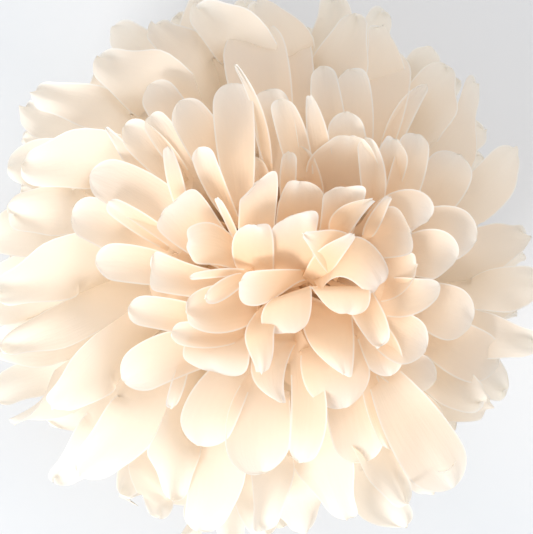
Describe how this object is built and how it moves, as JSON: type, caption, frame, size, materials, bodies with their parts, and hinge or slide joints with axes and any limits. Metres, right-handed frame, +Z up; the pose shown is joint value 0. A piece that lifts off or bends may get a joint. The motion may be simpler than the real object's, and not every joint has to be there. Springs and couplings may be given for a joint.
{
  "type": "tissue paper pom pom",
  "caption": "Tissue paper pom pom: pleated sheets with rounded ends, tied at the waist with wire and fluffed into a full ball of petals.",
  "frame": {"origin": "centre of the ball's outline, level with the petals that it rests on", "axes": "+Z up through the flower, square to the tied waist, which is the shortest way through the ball; +Y along the waist, towards the twisted ends of the wire; the folds leave the waist along +X and -X before they are fanned out"},
  "size_m": [0.3108, 0.3174, 0.2699],
  "materials": {
    "tissue": "matte, thin and slightly translucent",
    "wire": "satin"
  },
  "bodies": {
    "root": {"tissue_sheet_01": "tissue", "tissue_sheet_02": "tissue", "tissue_sheet_03": "tissue", "tissue_sheet_04": "tissue", "tissue_sheet_05": "tissue", "tissue_sheet_06": "tissue", "tissue_sheet_07": "tissue", "tissue_sheet_08": "tissue", "tissue_sheet_09": "tissue", "tissue_sheet_10": "tissue", "wire_tie": "wire"}
  },
  "joints": []
}
